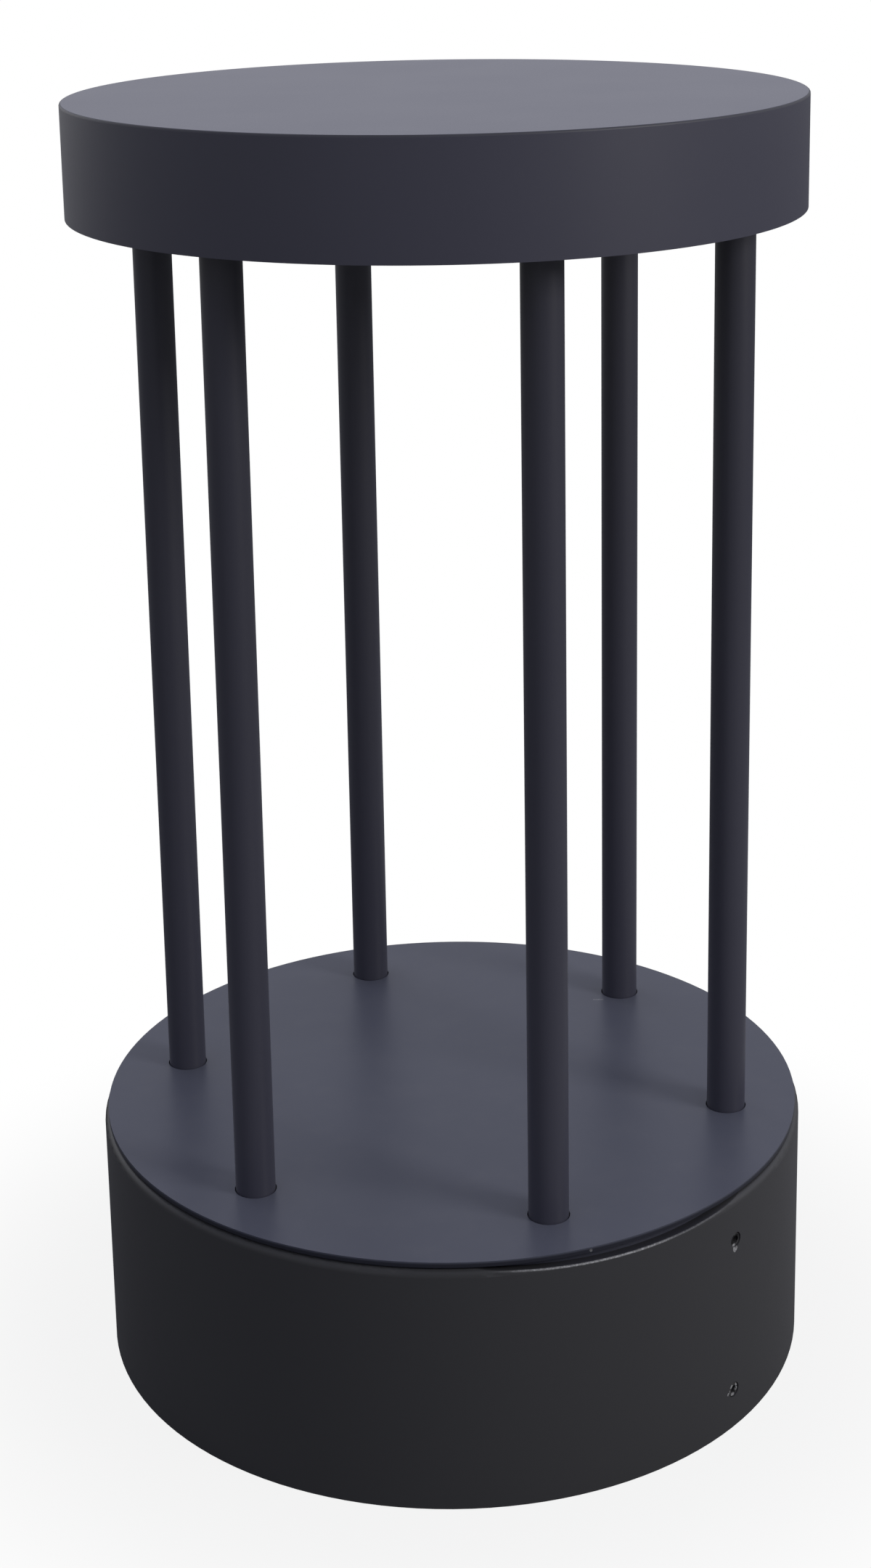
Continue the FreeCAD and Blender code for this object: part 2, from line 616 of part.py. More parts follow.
def build_post_screws(name, washers, seat, reach, side):
    """Socket screws and washers of the solid posts; side is 1 with the heads below, -1 above.

    seat is the face that the washers bear on and reach the end of the screws above or below it.
    """
    body = new_body(name)
    radius = "post_screw_dia / 2"
    head_face = f"-{side} * washer_thick"
    head_end = f"-{side} * (washer_thick + post_head_height)"
    screw = turn(body, [
        ("0", head_end),
        ("post_head_dia / 2", head_end),
        ("post_head_dia / 2", head_face),
        (radius, head_face),
        (radius, reach),
        ("0", reach),
    ], across=POST_RING)
    recess = socket(body, "post_socket_width", head_end, "post_socket_depth", POST_RING, upwards=side > 0)
    repeat(body, [screw, recess], SOLID_POSTS, SOLID_POST_SPAN)
    place(body, height=seat, azimuth=f"{FEED_AZIMUTH} + {POST_ANGLE}")
    body = new_body(washers)
    washer = turn(body, ring(f"{radius} + thread_gap", "washer_dia / 2", "0", head_face), across=POST_RING)
    repeat(body, [washer], SOLID_POSTS, SOLID_POST_SPAN)
    place(body, height=seat, azimuth=f"{FEED_AZIMUTH} + {POST_ANGLE}")


def build_nipples():
    """Threaded tubes that hold the hollow post's ends, with a nut and a washer each."""
    stack = "(washer_thick + nut_thick + nipple_stub)"
    radius, bore = "nipple_dia / 2", "nipple_bore / 2"
    spans = {
        "lower_nipple": (f"{BOSS_UNDER} - {stack}", f"{POST_FOOT} + nipple_reach"),
        "upper_nipple": (f"{POST_TOP} - nipple_reach", f"{PLATE_TOP} + {stack}"),
    }
    for name, (low, high) in spans.items():
        body = new_body(name)
        turn(body, ring(bore, radius, low, high))
        place(body, FEED_X, FEED_Y)
    washers = new_body("nipple_washers")
    inner = f"{radius} + thread_gap"
    turn(washers, ring(inner, "washer_dia / 2", f"{BOSS_UNDER} - washer_thick", BOSS_UNDER))
    turn(washers, ring(inner, "washer_dia / 2", PLATE_TOP, f"{PLATE_TOP} + washer_thick"))
    place(washers, FEED_X, FEED_Y)
    nuts = new_body("nipple_nuts")
    lower_face = f"({BOSS_UNDER} - washer_thick)"
    upper_face = f"({PLATE_TOP} + washer_thick)"
    for foot in (f"{lower_face} - nut_thick", upper_face):
        pad(nuts, hexagon("nut_width"), foot, "nut_thick")
    drill(nuts, "0", "0", f"2 * ({inner})", f"{upper_face} + nut_thick",
          f"{upper_face} + nut_thick - {lower_face} + nut_thick")
    place(nuts, FEED_X, FEED_Y)


def build_lamp_plate():
    """Plate that closes the head from below, with a window and a ledge for the diffuser.

    Its own +X points at the hollow post.
    """
    body = new_body("lamp_plate")
    turn(body, [
        (WINDOW, PLATE_UNDER),
        (PLATE_OUTER, PLATE_UNDER),
        (PLATE_OUTER, PLATE_TOP),
        (REBATE, PLATE_TOP),
        (REBATE, REBATE_FLOOR),
        (WINDOW, REBATE_FLOOR),
    ])
    recess = drill(body, POST_RING, "0", POST_RECESS, POST_TOP, "post_sink")
    repeat(body, [recess], "post_count")
    drill(body, POST_RING, "0", NIPPLE_HOLE, PLATE_TOP, f"{PLATE_TOP} - {POST_TOP}")
    hole = drill(body, NEXT_POST_X, NEXT_POST_Y, "post_hole_dia", PLATE_TOP, f"{PLATE_TOP} - {POST_TOP}")
    repeat(body, [hole], SOLID_POSTS, SOLID_POST_SPAN)
    x, y = between_posts(CLAMP_SCREW_RING)
    thread = drill(body, x, y, "clamp_screw_dia + 2 * thread_gap", PLATE_TOP,
                   "clamp_screw_reach + blind_runout")
    repeat(body, [thread], "clamp_screw_count")
    x, y = between_posts(CAP_SCREW_RING)
    head, shank = "cap_screw_dia", "cap_screw_dia / 2 + thread_gap"
    seat = bore(body, [
        ("0", PLATE_UNDER),
        (head, PLATE_UNDER),
        (shank, f"{PLATE_UNDER} + {head} - ({shank})"),
        (shank, PLATE_TOP),
        ("0", PLATE_TOP),
    ], x, y)
    repeat(body, [seat], "cap_screw_count")
    place(body, azimuth=FEED_AZIMUTH)


def between_posts(radius):
    """A point halfway between the hollow post and the next one, in a body turned to the hollow post."""
    return f"{radius} * cos({POST_ANGLE} / 2 * 1 deg)", f"{radius} * sin({POST_ANGLE} / 2 * 1 deg)"


def build_diffuser():
    """Opal disc on a rubber ring, held down on the ledge by a stepped ring and screws."""
    turn(new_body("diffuser_seal"), ring(
        f"{WINDOW} + diffuser_slack", f"{REBATE} - diffuser_slack", REBATE_FLOOR, DIFFUSER_UNDER))
    turn(new_body("diffuser"), [
        ("0", DIFFUSER_UNDER),
        (f"{REBATE} - diffuser_slack", DIFFUSER_UNDER),
        (f"{REBATE} - diffuser_slack", DIFFUSER_TOP),
        ("0", DIFFUSER_TOP),
    ])
    body = new_body("diffuser_clamp")
    clamp_inner, clamp_outer = f"{WINDOW} + diffuser_slack", f"{WINDOW} + clamp_width"
    turn(body, [
        (clamp_inner, DIFFUSER_TOP),
        (REBATE, DIFFUSER_TOP),
        (REBATE, PLATE_TOP),
        (clamp_outer, PLATE_TOP),
        (clamp_outer, CLAMP_TOP),
        (clamp_inner, CLAMP_TOP),
    ])
    hole = drill(body, CLAMP_SCREW_RING, "0", "clamp_screw_dia + 2 * thread_gap", CLAMP_TOP,
                 f"{CLAMP_TOP} - {PLATE_TOP}")
    repeat(body, [hole], "clamp_screw_count")
    place(body, azimuth=f"{FEED_AZIMUTH} + {POST_ANGLE} / 2")
    pan_screws("clamp_screws", "clamp_screw_dia", CLAMP_TOP,
               f"({CLAMP_TOP} - {PLATE_TOP} + clamp_screw_reach)",
               CLAMP_SCREW_RING, "clamp_screw_count", f"{FEED_AZIMUTH} + {POST_ANGLE} / 2")


def pan_outline(diameter, length, side=1):
    """Outline of a pan-head screw on its seat at height 0; side 1 has the head above, -1 below."""
    head = f"{diameter} * pan_head_share / 2"
    thick = f"{side} * {diameter} * pan_height_share"
    end = f"-{side} * {length}"
    return [
        ("0", end),
        (f"{diameter} / 2", end),
        (f"{diameter} / 2", "0"),
        (head, "0"),
        (head, f"({thick}) / 2"),
        (f"{head} - {diameter} * pan_edge_share", thick),
        ("0", thick),
    ]


def pan_screws(name, diameter, seat, length, radius, count, azimuth, side=1):
    """Pan-head screws on a circle."""
    body = new_body(name)
    screw = turn(body, pan_outline(diameter, length, side), across=radius)
    repeat(body, [screw], count)
    place(body, height=seat, azimuth=azimuth)


def build_lamp():
    """Heat spreader, LED board, chips and connector under the cap's block."""
    spreader = new_body("heat_spreader")
    turn(spreader, [
        ("0", BOARD_TOP),
        (SPREADER, BOARD_TOP),
        (SPREADER, CORE_UNDER),
        ("0", CORE_UNDER),
    ])
    board = new_body("led_board")
    turn(board, [
        ("0", BOARD_UNDER),
        (BOARD, BOARD_UNDER),
        (BOARD, BOARD_TOP),
        ("0", BOARD_TOP),
    ])
    for body, top in ((spreader, CORE_UNDER), (board, BOARD_TOP)):
        hole = drill(body, "board_screw_ring_dia / 2", "0", "board_screw_dia + 2 * thread_gap", top,
                     "spreader_thick + board_thick")
        repeat(body, [hole], "board_screw_count")
        place(body, azimuth=FEED_AZIMUTH)
    chips = new_body("led_chips")
    chip = pad(chips, rectangle("chip_size", "chip_size", CHIP_RING),
               f"{BOARD_UNDER} - chip_thick", "chip_thick")
    repeat(chips, [chip], "chip_count")
    place(chips, azimuth=f"{FEED_AZIMUTH} + 180 / chip_count")
    connector = new_body("board_connector")
    outline = rectangle("connector_length", "connector_width", CONNECTOR)
    pad(connector, outline, CORE_UNDER, "connector_height")
    place(connector, azimuth=FEED_AZIMUTH)
    pan_screws("board_screws", "board_screw_dia", BOARD_UNDER,
               "(board_thick + spreader_thick + board_screw_reach)",
               "board_screw_ring_dia / 2", "board_screw_count", FEED_AZIMUTH, side=-1)


def build_head_cap():
    """Cup over the lamp, with an inner step for the seal, a block for the lamp and screw columns.

    Its own +X points at the hollow post.
    """
    body = new_body("head_cap")
    turn(body, [
        ("0", CORE_UNDER),
        ("core_dia / 2", CORE_UNDER),
        ("core_dia / 2", CAP_CEILING),
        (f"{CAP_INNER} - cap_step", CAP_CEILING),
        (f"{CAP_INNER} - cap_step", SEAL_TOP),
        (CAP_INNER, SEAL_TOP),
        (CAP_INNER, HEAD_FOOT),
        (HEAD, HEAD_FOOT),
        (HEAD, "total_height"),
        ("0", "total_height"),
    ])
    doc.recompute()
    soften(body, circle_edges(body.Shape, value(HEAD), value("total_height")), "cap_edge")
    x, y = between_posts(CAP_SCREW_RING)
    column = round_pad(body, x, y, "cap_boss_dia", PLATE_TOP, f"{CAP_CEILING} - {PLATE_TOP}")
    repeat(body, [column], "cap_screw_count")
    thread_top = f"({PLATE_UNDER} + cap_screw_length + thread_runout)"
    thread = drill(body, x, y, "cap_screw_dia + 2 * thread_gap", thread_top, f"{thread_top} - {PLATE_TOP}")
    repeat(body, [thread], "cap_screw_count")
    depth = "(board_screw_reach + blind_runout)"
    thread = drill(body, "board_screw_ring_dia / 2", "0", "board_screw_dia + 2 * thread_gap",
                   f"{CORE_UNDER} + {depth}", depth)
    repeat(body, [thread], "board_screw_count")
    place(body, azimuth=FEED_AZIMUTH)


def build_cap_fixings():
    """Flat seal between lamp plate and cap, and the countersunk screws through the plate."""
    turn(new_body("cap_seal"), ring(f"{PLATE_OUTER} - cap_seal_width", PLATE_OUTER, PLATE_TOP, SEAL_TOP))
    body = new_body("cap_screws")
    head, shank = "(cap_screw_dia - thread_gap)", "(cap_screw_dia / 2)"
    screw = turn(body, [
        ("0", "0"),
        (head, "0"),
        (shank, f"{head} - {shank}"),
        (shank, "cap_screw_length"),
        ("0", "cap_screw_length"),
    ], across=CAP_SCREW_RING)
    recess = socket(body, "cap_socket_width", "0", "cap_socket_depth", CAP_SCREW_RING)
    repeat(body, [screw, recess], "cap_screw_count")
    place(body, height=PLATE_UNDER, azimuth=f"{FEED_AZIMUTH} + {POST_ANGLE} / 2")


def build_driver():
    """LED driver with two ears, screwed to the flange."""
    body = new_body("driver")
    pad(body, rectangle("driver_length + 2 * driver_ear", "driver_width / 2"), "0", "driver_ear_thick")
    pad(body, rectangle("driver_length", "driver_width"), "0", "driver_height")
    doc.recompute()
    corners = upright_edges(body.Shape, value("driver_length / 2"), value("driver_width / 2"))
    soften(body, corners, "driver_edge")
    for x in (f"-{DRIVER_SCREW_X}", DRIVER_SCREW_X):
        drill(body, x, "0", SMALL_HOLE, "driver_ear_thick", "driver_ear_thick")
    place(body, height="flange_thick")
    bind(body, Placement__Base__y=DRIVER_Y)
    standing_screws("driver_screws", DRIVER_SCREWS, "(flange_thick + driver_ear_thick)")


def upright_edges(shape, half_length, half_width):
    """Names of the upright edges at the corners of a rectangle about Z."""
    names = []
    for number, edge in enumerate(shape.Edges, 1):
        middle, box = edge.CenterOfMass, edge.BoundBox
        on_corner = abs(abs(middle.x) - half_length) < 1e-4 and abs(abs(middle.y) - half_width) < 1e-4
        if on_corner and box.ZLength > box.XLength + box.YLength:
            names.append(f"Edge{number}")
    return names


def standing_screws(name, places, seat):
    """Pan-head screws at given places, which reach down into the flange."""
    body = new_body(name)
    for x, y in places:
        turn(body, pan_outline("small_screw_dia", f"({seat} - small_screw_setback)"), x, y)
    place(body, height=seat)


def build_junction_box():
    """Open box with screw columns, lid, terminal block, screws and two cable glands."""
    inner_length, inner_width = "box_length - 2 * box_wall", "box_width - 2 * box_wall"
    column_x = "(box_length / 2 - box_wall - lid_column_dia / 2 + lid_column_bite)"
    column_y = "(box_width / 2 - box_wall - lid_column_dia / 2 + lid_column_bite)"
    columns = [(f"{i} * {column_x}", f"{j} * {column_y}") for i in (-1, 1) for j in (-1, 1)]
    box = new_body("junction_box")
    pad(box, rectangle("box_length", "box_width"), "0", "box_height")
    doc.recompute()
    soften(box, upright_edges(box.Shape, value("box_length / 2"), value("box_width / 2")), "box_corner")
    sketch = new_sketch(box, "XY_Plane", offset="box_height")
    draw_outline(sketch, rectangle(inner_length, inner_width))
    cavity = box.newObject("PartDesign::Pocket", "cavity")
    cavity.Profile = sketch
    bind(cavity, Length="box_height - box_wall")
    for x, y in columns:
        round_pad(box, x, y, "lid_column_dia", "box_wall", "box_height - box_wall")
        drill(box, x, y, "lid_screw_dia + 2 * thread_gap", "box_height", "lid_screw_reach + thread_runout")
    for x, y in ((f"-{BOX_SCREW_X}", "0"), (BOX_SCREW_X, "0")):
        drill(box, x, y, SMALL_HOLE, "box_wall", "box_wall")
    sketch = new_sketch(box, "XZ_Plane", offset="-box_width / 2")
    for x in GLAND_PLACES:
        draw_circle(sketch, x, "gland_height", "gland_neck_dia + 2 * thread_gap")
    holes = box.newObject("PartDesign::Pocket", "gland_holes")
    holes.Profile = sketch
    holes.Reversed = True
    bind(holes, Length="box_wall")
    place(box, "0", BOX_Y, "flange_thick")

    lid = new_body("junction_lid")
    pad(lid, rectangle("box_length", "box_width"), "0", "lid_thick")
    doc.recompute()
    soften(lid, upright_edges(lid.Shape, value("box_length / 2"), value("box_width / 2")), "box_corner")
    for x, y in columns:
        drill(lid, x, y, "lid_screw_dia + 2 * thread_gap", "lid_thick", "lid_thick")
    place(lid, "0", BOX_Y, "flange_thick + box_height")

    screws = new_body("lid_screws")
    for x, y in columns:
        turn(screws, pan_outline("lid_screw_dia", "(lid_thick + lid_screw_reach)"), x, y)
    place(screws, "0", BOX_Y, "flange_thick + box_height + lid_thick")

    standing_screws("box_screws", BOX_SCREWS, "(flange_thick + box_wall)")
    block = new_body("terminal_block")
    pad(block, rectangle("terminal_length", "terminal_width"), "0", "terminal_height")
    place(block, "0", BOX_Y, "flange_thick + box_wall")

    for name, x in zip(("supply_gland", "link_gland"), GLAND_PLACES):
        build_gland(name, x)


def build_gland(name, x):
    """Cable gland through the box's back wall: neck, nut and dome, with its lead's bore."""
    body = new_body(name)
    bore_radius, neck = "lead_dia / 2", "gland_neck_dia / 2"
    sketch = new_sketch(body, "XZ_Plane")
    draw_outline(sketch, [
        (bore_radius, "-box_wall - gland_inside"),
        (neck, "-box_wall - gland_inside"),
        (neck, "0"),
        ("gland_dia / 2", "0"),
        ("gland_dia / 2", "gland_length / 2"),
        ("gland_dia / 2 - gland_step", "gland_length / 2"),
        (f"{neck} - gland_step", "gland_length"),
        (bore_radius, "gland_length"),
    ])
    shape = body.newObject("PartDesign::Revolution", "gland")
    shape.Profile = sketch
    shape.ReferenceAxis = (sketch, ["V_Axis"])
    shape.Angle = 360
    body.Placement.Rotation = FreeCAD.Rotation(FreeCAD.Vector(1, 0, 0), -90)
    bind(body, Placement__Base__x=x, Placement__Base__y=BOX_BACK, Placement__Base__z=LEAD_HEIGHT)


def build_leads():
    """Straight lead from the box to the driver, and the one up the hollow post to the lamp."""
    body = new_body("link_lead")
    start = f"({BOX_BACK} - box_wall - gland_inside)"
    turn(body, [
        ("0", "0"),
        ("lead_dia / 2", "0"),
        ("lead_dia / 2", f"{DRIVER_FRONT} - {start}"),
        ("0", f"{DRIVER_FRONT} - {start}"),
    ])
    body.Placement.Rotation = FreeCAD.Rotation(FreeCAD.Vector(1, 0, 0), -90)
    bind(body, Placement__Base__x=GLAND_PLACES[1], Placement__Base__y=start, Placement__Base__z=LEAD_HEIGHT)

    foot = FreeCAD.Vector(value(FEED_X), value(FEED_Y), value(LEAD_HEIGHT))
    outlet = FreeCAD.Vector(foot.x, value(DRIVER_BACK), foot.z)
    top = FreeCAD.Vector(foot.x, foot.y, value(f"{CORE_UNDER} + connector_height / 2"))
    inward = FreeCAD.Vector(-foot.x, -foot.y, 0).normalize()
    run = value(f"{POST_RING} - {CONNECTOR} - connector_length / 2")
    path = rounded_path([outlet, foot, top, top + inward * run], value("lead_bend"))
    radius = value("lead_dia / 2")
    section = Part.Wire(Part.Circle(outlet, FreeCAD.Vector(0, 1, 0), radius).toShape())
    lead = doc.addObject("Part::Feature", "head_lead")
    lead.Label = "head_lead"
    lead.Shape = path.makePipeShell([section], True, False)
    expected = path.Length * math.pi * radius ** 2
    print("head_lead volume over expected:", round(lead.Shape.Volume / expected, 4))


def rounded_path(points, radius):
    """Straight runs through the points, joined by tangent arcs."""
    edges, start = [], points[0]
    for before, corner, after in zip(points, points[1:], points[2:]):
        back = (before - corner).normalize()
        ahead = (after - corner).normalize()
        half = back.getAngle(ahead) / 2
        reach = radius / math.tan(half)
        bisector = (back + ahead).normalize()
        middle = corner + bisector * (radius / math.sin(half) - radius)
        enter, leave = corner + back * reach, corner + ahead * reach
        edges.append(Part.LineSegment(start, enter).toShape())
        edges.append(Part.Arc(enter, middle, leave).toShape())
        start = leave
    edges.append(Part.LineSegment(start, points[-1]).toShape())
    return Part.Wire(edges)


def build_all():
    build_ground_flange()
    build_cable_grommet()
    build_drum_sleeve()
    build_deck()
    build_deck_seal()
    build_side_screws("lower_side_screws", "lower_screw_height")
    build_side_screws("upper_side_screws", UPPER_SCREWS)
    build_posts()
    build_post_screws("lower_post_screws", "lower_post_washers", BOSS_UNDER,
                      f"{POST_FOOT} + post_screw_reach - {BOSS_UNDER}", 1)
    build_post_screws("upper_post_screws", "upper_post_washers", PLATE_TOP,
                      f"{POST_TOP} - post_screw_reach - {PLATE_TOP}", -1)
    build_nipples()
    build_lamp_plate()
    build_diffuser()
    build_lamp()
    build_head_cap()
    build_cap_fixings()
    build_driver()
    build_junction_box()
    standing_screws("earth_screw", [EARTH_SCREW], "flange_thick")
    build_leads()


def check_and_write():
    """Stop on a failed object or shape, then write each piece to its own file."""
    doc.recompute()
    for thing in doc.Objects:
        if "Invalid" in thing.State or "Error" in thing.State:
            raise RuntimeError(f"{thing.Label} failed: {thing.State}")
    pieces = [thing for thing in doc.Objects if thing.TypeId in ("PartDesign::Body", "Part::Feature")]
    for piece in pieces:
        if piece.Shape.isNull() or not piece.Shape.isValid():
            raise RuntimeError(f"{piece.Label} has no valid shape")
    for piece in pieces:
        piece.Shape.exportStep(f"parts/{piece.Label}.step")
        print(piece.Label, len(piece.Shape.Solids), round(piece.Shape.Volume))


build_all()
check_and_write()
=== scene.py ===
"""Looks of the bollard light: coats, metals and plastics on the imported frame, with floor, light and camera.

Lengths are in metres in the part's own frame: the origin is in the middle of the underside, +Z is up
and the front faces -Y. Azimuths run from the front, -Y, towards +X.
"""
import bpy
import bmesh
import json
import math
from mathutils import Matrix, Vector

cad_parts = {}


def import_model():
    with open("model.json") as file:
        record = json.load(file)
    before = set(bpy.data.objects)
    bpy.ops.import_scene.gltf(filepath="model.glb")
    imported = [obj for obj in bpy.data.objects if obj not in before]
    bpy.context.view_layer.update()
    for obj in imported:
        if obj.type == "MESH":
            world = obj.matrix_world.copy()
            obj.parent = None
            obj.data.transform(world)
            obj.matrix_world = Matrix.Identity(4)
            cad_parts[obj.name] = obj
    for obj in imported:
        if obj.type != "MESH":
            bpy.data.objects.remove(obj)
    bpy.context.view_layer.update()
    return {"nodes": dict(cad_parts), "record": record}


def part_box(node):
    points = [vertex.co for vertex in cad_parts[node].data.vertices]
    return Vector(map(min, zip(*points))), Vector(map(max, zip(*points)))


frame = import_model()

MM = 0.001
WHITE = (1, 1, 1, 1)

# Sizes read from the frame
HEAD_LOW, HEAD_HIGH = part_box("head_cap")
_, DECK_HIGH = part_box("deck")
_, SLEEVE_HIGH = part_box("drum_sleeve")
UPPER_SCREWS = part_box("upper_side_screws")
LOWER_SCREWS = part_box("lower_side_screws")
DRUM_RADIUS = SLEEVE_HIGH.x
DECK_RADIUS = DECK_HIGH.x

# The deck's thin rim, and the dip in the drum's rim
RIM_THICK = 2 * MM
DIP_AZIMUTH, DIP_WIDTH, DIP_DEPTH = 27, 112 * MM, 2.3 * MM

# Places round the side screws, in mm across and up from a screw's middle: painted shade, black, in the
# upper pair's sockets, wear on the screws and chips in the drum's coat beside them; below the upper pair the
# wear and chips are also painted light, the lit lower side of the hole
UPPER_SOCKET_SHADE = [(-0.9, 0.5), (0.9, 0.5)]
UPPER_WEAR_AND_LIGHT = [(-0.5, -2.6)]
UPPER_CHIPS_AND_LIGHT = [(0, -3.4)]
LOWER_WEAR = [(-2.5, -0.1), (-0.6, -2.0), (0.1, -1.9), (1.9, -0.3), (2.3, 1.6), (-1.0, 1.7)]
LOWER_CHIPS = [(-3.3, -0.4)]

# Share of the white surroundings that mirrors see on the floor, far from the object
MIRRORED = 0.2


def linear(red, green, blue):
    """A shader colour from display values of 0 to 255."""
    def curve(level):
        share = level / 255
        return share / 12.92 if share <= 0.04045 else ((share + 0.055) / 1.055) ** 2.4
    return (curve(red), curve(green), curve(blue), 1.0)


def scaled(colour, factor):
    """A colour made paler or darker by a factor."""
    return tuple(min(1.0, level * factor) for level in colour[:3]) + (1.0,)


def sine(degrees):
    return math.sin(math.radians(degrees))


class Graph:
    """Short calls that build the nodes of one material or world."""

    def __init__(self, owner):
        owner.use_nodes = True
        self.owner = owner
        self.tree = owner.node_tree
        self.shader = self.tree.nodes.get("Principled BSDF")
        coordinates = self.add("ShaderNodeTexCoord").outputs
        self.place, self.direction = coordinates["Object"], coordinates["Generated"]

    def add(self, kind, inputs=None, **settings):
        node = self.tree.nodes.new(kind)
        for name, setting in settings.items():
            setattr(node, name, setting)
        for name, source in (inputs or {}).items():
            self.feed(node.inputs[name], source)
        return node

    def feed(self, socket, source):
        if isinstance(source, bpy.types.NodeSocket):
            self.tree.links.new(source, socket)
        else:
            socket.default_value = source

    def set(self, **inputs):
        """Feed the shader's own sockets; an underscore stands for a space."""
        for name, source in inputs.items():
            self.feed(self.shader.inputs[name.replace("_", " ")], source)

    def math(self, operation, first, second=0.0):
        return self.add("ShaderNodeMath", {0: first, 1: second}, operation=operation).outputs[0]

    def plus(self, first, second):
        return self.math("ADD", first, second)

    def minus(self, first, second):
        return self.math("SUBTRACT", first, second)

    def times(self, first, *others):
        for other in others:
            first = self.math("MULTIPLY", first, other)
        return first

    def vector(self, operation, first, second):
        return self.add("ShaderNodeVectorMath", {0: first, 1: second}, operation=operation)

    def axes(self, point=None):
        """The three parts of a point."""
        return self.add("ShaderNodeSeparateXYZ", {0: self.place if point is None else point}).outputs

    def along(self, direction):
        """How far the place lies along a direction."""
        return self.vector("DOT_PRODUCT", self.place, direction).outputs["Value"]

    def reach(self):
        """Distance from the part's axis."""
        x, y, _ = self.axes()
        return self.math("SQRT", self.plus(self.times(x, x), self.times(y, y)))

    def topside(self):
        """1 on faces that look up and 0 on sides."""
        normal = self.add("ShaderNodeNewGeometry").outputs["Normal"]
        return self.span(self.axes(normal)[2], 0.7, 0.98)

    def noise(self, scale, detail=2.0, roughness=0.5, stretch=None):
        """Smooth noise of 0 to 1; stretch draws it out along an axis."""
        point = self.place
        if stretch is not None:
            point = self.vector("MULTIPLY", point, stretch).outputs[0]
        inputs = {"Vector": point, "Scale": scale, "Detail": detail, "Roughness": roughness}
        return self.add("ShaderNodeTexNoise", inputs).outputs["Fac"]

    def span(self, source, low, high, start=0.0, end=1.0):
        """Map low to high onto start to end, eased and clamped."""
        inputs = {"Value": source, "From Min": low, "From Max": high, "To Min": start, "To Max": end}
        return self.add("ShaderNodeMapRange", inputs, interpolation_type="SMOOTHSTEP").outputs["Result"]

    def fall(self, source, low, high):
        """Map low to high onto 1 to 0, eased and clamped."""
        return self.span(source, low, high, 1.0, 0.0)

    def spread(self, noise, start=0.0, end=1.0):
        """Map noise, which keeps near its middle, onto start to end."""
        return self.span(noise, 0.3, 0.7, start, end)

    def mix(self, share, first, second):
        node = self.add("ShaderNodeMix", data_type="RGBA")
        self.feed(node.inputs[0], share)
        self.feed(node.inputs[6], first)
        self.feed(node.inputs[7], second)
        return node.outputs[2]

    def bump(self, height, depth, strength=1.0):
        inputs = {"Height": height, "Distance": depth, "Strength": strength}
        self.set(Normal=self.add("ShaderNodeBump", inputs).outputs[0])

    def near(self, point, reach, ragged=0.0):
        """1 within reach of a point and 0 beyond, with an edge that noise makes ragged."""
        distance = self.vector("DISTANCE", self.place, point).outputs["Value"]
        if ragged:
            distance = self.plus(distance, self.times(self.minus(self.noise(900.0, 3.0), 0.5), ragged))
        return self.fall(distance, reach * 0.94, reach * 1.04)

    def near_any(self, points, reach, ragged, share=0.0):
        """The greatest of a share and of the shares near several points."""
        for point in points:
            share = self.math("MAXIMUM", share, self.near(point, reach, ragged))
        return share

    def rays(self):
        """1 for rays from the camera or through glass, and 1 for mirrored rays."""
        path = self.add("ShaderNodeLightPath").outputs
        seen = self.math("MAXIMUM", path["Is Camera Ray"], path["Is Transmission Ray"])
        return seen, path["Is Glossy Ray"]


def material(name):
    return Graph(bpy.data.materials.new(name))


def on_side(azimuth, height, radius=DRUM_RADIUS):
    """The point at an azimuth in degrees and a height, on the drum's skin or at another radius."""
    angle = math.radians(azimuth)
    return Vector((radius * math.sin(angle), -radius * math.cos(angle), height))


def by_screws(box, places):
    """Points of the drum's skin at places round both of two opposite screws, from the box round both."""
    low, high = box
    azimuth = math.degrees(math.atan2(high.x, -low.y))
    height = (low.z + high.z) / 2
    return [on_side(azimuth + turned + math.degrees(across * MM / DRUM_RADIUS), height + up * MM)
            for turned in (0, 180) for across, up in places]


def coat(name, colour, roughness, gloss=0.4, dust=0.0):
    """Satin powder coat: an even tone, a fine leathery skin and a breath of dust on top faces."""
    g = material(name)
    cloud = 0.02
    tone = g.mix(g.spread(g.noise(9.0, 3.0)), scaled(colour, 1 - cloud), scaled(colour, 1 + cloud))
    grain = g.noise(1500.0, 3.0, 0.55)
    tone = g.mix(g.span(grain, 0.5, 0.8, 0.0, 0.3), tone, scaled(colour, 1.15))
    rough = g.spread(g.noise(24.0, 4.0), roughness - 0.005, roughness + 0.005)
    rough = g.plus(rough, g.spread(grain, -0.015, 0.015))
    if dust:
        settled = g.times(g.topside(), g.span(g.noise(60.0, 6.0, 0.6), 0.42, 0.85), dust)
        tone = g.mix(settled, tone, linear(150, 148, 144))
    g.set(Base_Color=tone, Roughness=rough, Specular_IOR_Level=gloss)
    g.bump(g.plus(grain, g.times(g.noise(420.0, 2.0), 0.6)), 0.02 * MM, 0.35)
    return g, tone, rough


def chip(g, tone, rough, share):
    """Lay bare metal over a coat where share is 1."""
    metal = g.mix(g.span(g.noise(1400.0, 3.0), 0.35, 0.7), linear(120, 120, 120), linear(170, 170, 172))
    g.set(Base_Color=g.mix(share, tone, metal), Roughness=g.plus(g.times(share, 0.12), rough),
          Metallic=g.times(share, 0.5))


def head_coat():
    """The head's coat, painted paler on top faces as a painted top light, and painted darker and made duller
    on the rounded upper edge, a painted shade that damps its highlight.
    """
    g, tone, rough = coat("head_coat", linear(55, 55, 67), 0.41, dust=0.02)
    # Painted light: top faces are painted paler than the sides.
    tone = g.mix(g.topside(), tone, linear(61, 61, 77))
    start, full = 0.8 * MM, 0.5 * MM
    edge = g.times(g.span(g.axes()[2], HEAD_HIGH.z - start, HEAD_HIGH.z - full),
                   g.span(g.reach(), HEAD_HIGH.x - start, HEAD_HIGH.x - full))
    # Painted shade: the rounded upper edge is painted darker to damp its highlight.
    tone = g.mix(edge, tone, linear(40, 40, 48))
    g.set(Base_Color=tone, Roughness=g.plus(rough, g.times(edge, 0.2)))
    return g.owner


